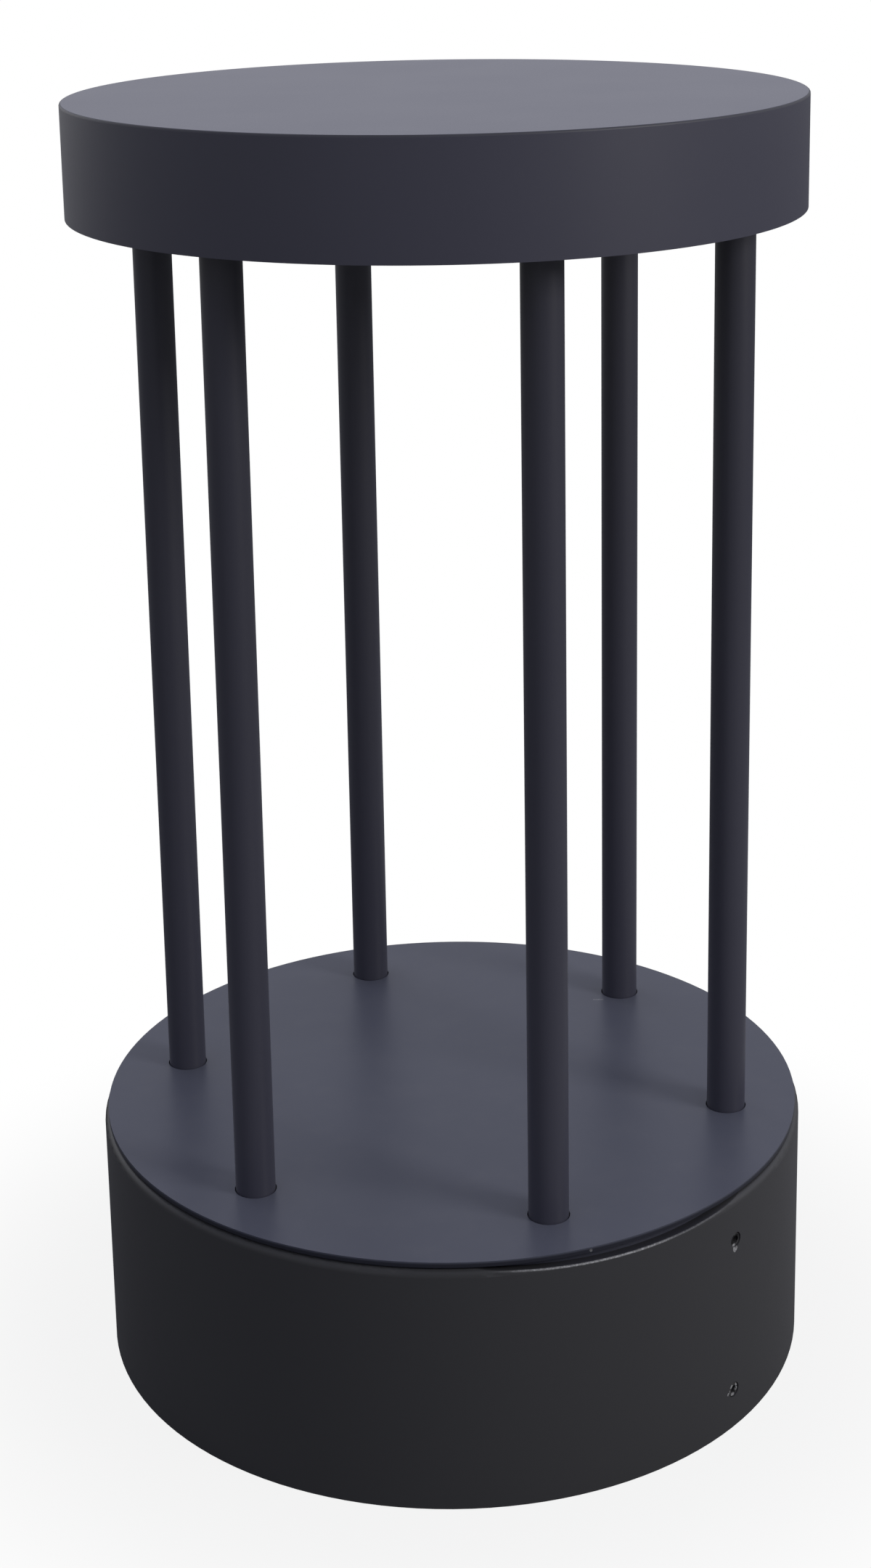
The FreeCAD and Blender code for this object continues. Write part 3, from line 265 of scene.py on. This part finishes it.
def post_coat():
    """The posts' coat, painted paler towards the deck: painted light and shade for the head's shade above and
    the deck's light below.
    """
    g, tone, _ = coat("post_coat", linear(45, 45, 55), 0.42)
    # Painted light and shade: paler low down, darker up under the head.
    low = g.fall(g.axes()[2], DECK_HIGH.z, HEAD_LOW.z)
    g.set(Base_Color=g.mix(low, tone, linear(54, 54, 65)))
    return g.owner


def deck_coat():
    """The deck's coat: painted pale on top and dark down the rim, lit and shaded copies of one coat, and
    painted paler on the turned skirt, painted light in the shaded recess.

    A short scratch on top, near the right back post, and a nick in the rim show bare metal.
    """
    g, tone, rough = coat("deck_coat", linear(71, 73, 84), 0.36, gloss=0.15, dust=0.03)
    height = g.axes()[2]
    top, rim_under = DECK_HIGH.z, DECK_HIGH.z - RIM_THICK
    # Painted shade: the rim's side is painted dark, and the top's paler tone is painted light.
    tone = g.mix(g.fall(height, top - 1.1 * MM, top - 0.05 * MM), tone, linear(36, 37, 45))
    # Painted light: the skirt in the recess under the rim is painted paler than its shade.
    tone = g.mix(g.fall(height, rim_under - 0.1 * MM, rim_under), tone, linear(60, 61, 71))
    start, length, width = Vector((62 * MM, 75 * MM, top)), 5 * MM, 0.35 * MM
    x, y, _ = g.axes(g.vector("SUBTRACT", g.place, start).outputs[0])
    within = g.times(g.span(x, 0.0, 0.5 * MM), g.fall(x, length - MM, length))
    across = g.fall(g.math("ABSOLUTE", y), width * 0.5, width * 1.5)
    scratch = g.times(within, across, 0.5)
    nick = g.near(on_side(20.8, top - 1.3 * MM, DECK_RADIUS), 0.6 * MM)
    chip(g, tone, rough, g.math("MAXIMUM", scratch, g.times(nick, 0.5)))
    return g.owner


def dip_shares(g):
    """Shares at the dip in the drum's rim: on its face, where shade is painted; on its outer edge, where a
    highlight is painted; and away from it.
    """
    angle = math.radians(DIP_AZIMUTH)
    side = g.along(Vector((math.cos(angle), math.sin(angle), 0)))
    front = g.span(g.along(Vector((math.sin(angle), -math.cos(angle), 0))), 0.0, 20 * MM)
    # The dip is an arc, seen from the front
    radius = (DIP_WIDTH ** 2 / 4 + DIP_DEPTH ** 2) / (2 * DIP_DEPTH)
    drop = g.math("SQRT", g.minus(radius ** 2, g.times(side, side)))
    arc = g.minus(SLEEVE_HIGH.z - DIP_DEPTH + radius, drop)
    line = g.fall(g.math("ABSOLUTE", g.minus(g.axes()[2], arc)), 0.35 * MM, 0.75 * MM)
    ends = g.fall(g.math("ABSOLUTE", side), DIP_WIDTH * 0.28, DIP_WIDTH * 0.48)
    face = g.times(line, ends, front)
    outside = g.span(g.reach(), DRUM_RADIUS - 0.9 * MM, DRUM_RADIUS - 0.5 * MM)
    # Painted highlight: the dip's outer edge, fading to the right.
    painted_rim_highlight = g.times(face, outside, g.span(side, 4 * MM, 28 * MM, 1.0, 0.3))
    away = g.minus(1.0, g.times(front, g.span(side, -35 * MM, -20 * MM)))
    return face, painted_rim_highlight, away


def drum_coat():
    """The drum's coat, more neutral in tone and chipped beside its screws; below the upper screws the chip is
    also painted light.

    Along the dip its cut face is painted darker, a painted shade, and bare metal is laid on the outer edge as
    a painted highlight; the rim's rounded shoulder away from the dip is painted darker, a painted shade that
    damps its highlight.
    """
    g, tone, rough = coat("drum_coat", linear(50, 50, 52), 0.5, gloss=0.3)
    face, painted_rim_highlight, away = dip_shares(g)
    # Painted shade: the dip's cut face is painted darker.
    tone = g.mix(face, tone, linear(38, 38, 43))
    height, top = g.axes()[2], SLEEVE_HIGH.z
    # Painted shade: the rounded shoulder away from the dip is painted darker to damp its highlight.
    shoulder = g.times(g.span(height, top - 2.5 * MM, top - 1.2 * MM),
                       g.fall(height, top - 0.3 * MM, top - 0.05 * MM))
    tone = g.mix(g.times(shoulder, away), tone, linear(32, 32, 34))
    # Painted highlight: bare metal laid along the dip's outer edge.
    share = g.times(painted_rim_highlight, 0.6)
    # Painted light, in part: the chip below each upper screw stands for the lit lower side of the hole.
    share = g.near_any(by_screws(UPPER_SCREWS, UPPER_CHIPS_AND_LIGHT), 1.3 * MM, 2.0 * MM, share)
    share = g.near_any(by_screws(LOWER_SCREWS, LOWER_CHIPS), 0.6 * MM, 0.9 * MM, share)
    chip(g, tone, rough, share)
    return g.owner


def screw_black():
    """Blackened steel, with painted shade, black, in the upper side screws' sockets, and wear on both pairs;
    below the upper sockets the wear is also painted light on the lit lower side of the hole.
    """
    g = material("black_screw")
    grain = g.noise(1300.0, 3.0)
    tone = g.mix(g.span(grain, 0.35, 0.7), linear(44, 44, 45), linear(56, 56, 56))
    # Painted shade: the upper sockets are painted black.
    for point in by_screws(UPPER_SCREWS, UPPER_SOCKET_SHADE):
        tone = g.mix(g.near(point, 1.7 * MM, 0.4 * MM), tone, linear(6, 6, 7))
    # Wear on both pairs; below the upper sockets it is also painted light.
    wear_and_painted_light = g.near_any(by_screws(UPPER_SCREWS, UPPER_WEAR_AND_LIGHT), 1.2 * MM, 1.6 * MM)
    wear_and_painted_light = g.near_any(by_screws(LOWER_SCREWS, LOWER_WEAR), 0.9 * MM, 0.9 * MM, wear_and_painted_light)
    chip(g, tone, g.spread(grain, 0.45, 0.6), g.times(wear_and_painted_light, 0.9))
    g.set(Specular_IOR_Level=0.2)
    g.bump(grain, 0.02 * MM, 0.4)
    return g.owner


def hidden_coat():
    """The plainer coat of pieces inside."""
    return coat("hidden_coat", linear(58, 59, 64), 0.6)[0].owner


def steel(name, colour, roughness):
    """Turned or brushed metal, with fine lines round the upright axis."""
    g = material(name)
    lines = g.noise(700.0, 4.0, 0.6, stretch=(1.0, 1.0, 9.0))
    g.set(Base_Color=g.mix(g.spread(lines), scaled(colour, 0.7), colour),
          Roughness=g.spread(g.noise(260.0, 3.0), roughness - 0.1, roughness + 0.1), Metallic=1.0)
    g.bump(lines, 0.03 * MM, 0.3)
    return g.owner


def rubber():
    """Black rubber with a greyish bloom."""
    g = material("seal_rubber")
    bloom = g.span(g.noise(180.0, 4.0), 0.4, 0.75)
    g.set(Base_Color=g.mix(bloom, linear(22, 22, 23), linear(46, 46, 47)),
          Roughness=g.span(bloom, 0.0, 1.0, 0.7, 0.85), Specular_IOR_Level=0.3)
    g.bump(g.noise(1800.0, 3.0), 0.04 * MM, 0.5)
    return g.owner


def opal():
    """Opal acrylic: white, satin and a little translucent."""
    g = material("opal")
    g.set(Base_Color=g.mix(g.spread(g.noise(160.0, 3.0)), linear(235, 236, 233), linear(240, 240, 236)),
          Roughness=g.spread(g.noise(600.0, 2.0), 0.38, 0.5),
          Subsurface_Weight=0.3, Subsurface_Scale=2 * MM)
    g.bump(g.noise(1300.0, 2.0), 0.01 * MM, 0.3)
    return g.owner


def plastic(name, colour, roughness, grain=1100.0):
    """Moulded plastic with a fine spark-eroded grain and faint flow marks."""
    g = material(name)
    flow = g.noise(45.0, 3.0, stretch=(1.0, 1.0, 3.0))
    g.set(Base_Color=g.mix(g.spread(flow), scaled(colour, 0.86), colour),
          Roughness=g.spread(g.noise(grain, 2.0), roughness - 0.06, roughness + 0.06))
    g.bump(g.noise(grain, 3.0, 0.6), 0.03 * MM, 0.5)
    return g.owner


def lacquer_board():
    """White solder lacquer over faint tracks."""
    g = material("board_white")
    inputs = {"Vector": g.place, "Scale": 90.0, "Mortar Size": 0.03}
    tracks = g.add("ShaderNodeTexBrick", inputs).outputs["Fac"]
    g.set(Base_Color=g.mix(tracks, linear(235, 235, 230), linear(214, 216, 210)),
          Roughness=g.spread(g.noise(500.0, 2.0), 0.3, 0.42))
    g.bump(tracks, 0.04 * MM, 0.4)
    return g.owner


def phosphor():
    """Yellow phosphor of the LED chips, a little darker where the gel is thick."""
    g = material("chip_yellow")
    gel = g.spread(g.noise(1200.0, 3.0))
    g.set(Base_Color=g.mix(gel, linear(226, 196, 78), linear(240, 216, 110)), Roughness=0.3)
    g.bump(gel, 0.02 * MM, 0.4)
    return g.owner


def dress():
    """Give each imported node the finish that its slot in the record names."""
    finishes = {
        "head_coat": head_coat(),
        "post_coat": post_coat(),
        "deck_coat": deck_coat(),
        "drum_coat": drum_coat(),
        "hidden_coat": hidden_coat(),
        "black_screw": screw_black(),
        "zinc_steel": steel("zinc_steel", linear(186, 186, 182), 0.32),
        "seal_rubber": rubber(),
        "opal": opal(),
        "bare_aluminium": steel("bare_aluminium", linear(200, 202, 204), 0.36),
        "board_white": lacquer_board(),
        "chip_yellow": phosphor(),
        "box_grey": plastic("box_grey", linear(178, 180, 181), 0.5),
        "black_plastic": plastic("black_plastic", linear(38, 38, 39), 0.5),
        "cable_sheath": plastic("cable_sheath", linear(42, 42, 43), 0.55, grain=700.0),
    }
    for part in frame["record"]["subparts"]:
        mesh = frame["nodes"][part["node"]].data
        mesh.materials.clear()
        mesh.materials.append(finishes[part["material_slot"]])


def add_object(name, data):
    piece = bpy.data.objects.new(name, data)
    bpy.context.scene.collection.objects.link(piece)
    return piece


def floor():
    """A round floor: grey to the light, and paler at the right near the object, a painted pool of light.

    The camera, glass and, in part, mirrors see it turn plain white from near the drum outwards.
    """
    mesh = bpy.data.meshes.new("floor")
    builder = bmesh.new()
    bmesh.ops.create_circle(builder, cap_ends=True, cap_tris=True, segments=96, radius=12.0)
    builder.to_mesh(mesh)
    builder.free()
    piece = add_object("floor", mesh)
    g = material("floor")
    x, distance = g.axes()[0], g.reach()
    grain = g.noise(40.0, 3.0)
    left = g.mix(grain, linear(97, 97, 97), linear(103, 103, 103))
    right = g.mix(grain, linear(135, 135, 135), linear(141, 141, 141))
    # Painted light: a paler patch at the right near the object, on the key's side.
    paler = g.times(g.span(x, -0.3, 0.3), g.fall(distance, 0.5, 1.5))
    g.set(Base_Color=g.mix(paler, left, right), Roughness=0.85, Specular_IOR_Level=0.1)
    seen, glossy = g.rays()
    mirrored = g.times(g.span(distance, 0.3, 3.5, 0.0, MIRRORED), g.fall(x, -1.5, 1.5), glossy)
    white = g.times(g.math("MAXIMUM", seen, mirrored), g.span(distance, DRUM_RADIUS, 0.3, 0.88, 1.0))
    glow = g.add("ShaderNodeEmission", {"Color": WHITE, "Strength": 1.0}).outputs[0]
    blend = g.add("ShaderNodeMixShader", {0: white, 1: g.shader.outputs[0], 2: glow}).outputs[0]
    g.feed(g.tree.nodes["Material Output"].inputs["Surface"], blend)
    mesh.materials.append(g.owner)


def world(strength, horizon):
    """A soft sky, pale blue and brightest above; mirrors see it pale down to the far floor.

    The camera and glass see plain white.
    """
    place = bpy.data.worlds.new("studio")
    bpy.context.scene.world = place
    g = Graph(place)
    height = g.axes(g.direction)[2]
    mirror_rise = g.span(height, sine(-8), sine(8), horizon, 1.0)
    tint = g.mix(g.span(height, 0.0, 0.5), linear(246, 246, 246), linear(232, 235, 252))
    seen, glossy = g.rays()
    overhead = g.span(height, 0.0, sine(50), strength * horizon, strength)
    level = g.plus(overhead, g.times(glossy, g.minus(mirror_rise, overhead)))
    sky = g.tree.nodes["Background"]
    g.feed(sky.inputs["Color"], tint)
    g.feed(sky.inputs["Strength"], level)
    white = g.add("ShaderNodeBackground", {"Color": WHITE}).outputs[0]
    blend = g.add("ShaderNodeMixShader", {0: seen, 1: sky.outputs[0], 2: white}).outputs[0]
    g.feed(g.tree.nodes["World Output"].inputs["Surface"], blend)


def lamp(name, place, target, size, watts, colour=(1.0, 1.0, 1.0)):
    """A square soft light at a place, turned to a target."""
    light = bpy.data.lights.new(name, "AREA")
    light.size, light.energy, light.color = size, watts, colour
    piece = add_object(name, light)
    piece.visible_camera = False
    piece.location = place
    piece.rotation_mode = "QUATERNION"
    piece.rotation_quaternion = (Vector(target) - Vector(place)).to_track_quat("-Z", "Y")


def lights():
    """A soft sky, a warm key light from the front right and a weak fill from the back left."""
    middle = (0, 0, (HEAD_HIGH.z + DECK_HIGH.z) / 2)
    world(strength=0.93, horizon=0.25)
    lamp("key", (1.35, -0.8, 1.1), middle, size=0.55, watts=16.0, colour=(1.0, 0.98, 0.93))
    lamp("back_fill", (-1.1, 1.2, 0.9), middle, size=0.9, watts=3.2)


def camera():
    """The photograph's view: 14.5 degrees down, from just under a metre in front."""
    focal_px, frame_px, sensor = 3618.6, 2160, 36.0
    middle_px, axis_px = 1080, 690
    place = Vector((0, -0.97573, 0.59588))
    pitch, roll, yaw = (math.radians(angle) for angle in (14.4619, -1.0088, -0.1314))
    forward = Vector((math.sin(yaw) * math.cos(pitch), math.cos(yaw) * math.cos(pitch), -math.sin(pitch)))
    level = Vector((math.cos(yaw), -math.sin(yaw), 0))
    upright = level.cross(forward)
    right = math.cos(roll) * level + math.sin(roll) * upright
    up = math.cos(roll) * upright - math.sin(roll) * level
    view = bpy.data.cameras.new("camera")
    view.sensor_width = sensor
    view.lens = focal_px / frame_px * sensor
    view.shift_y = (axis_px - middle_px) / frame_px
    view.dof.use_dof = False
    piece = add_object("camera", view)
    turn = Matrix((right, up, -forward)).transposed().to_4x4()
    piece.matrix_world = Matrix.Translation(place) @ turn
    bpy.context.scene.camera = piece


dress()
floor()
lights()
camera()
bpy.context.scene.view_settings.view_transform = "Standard"
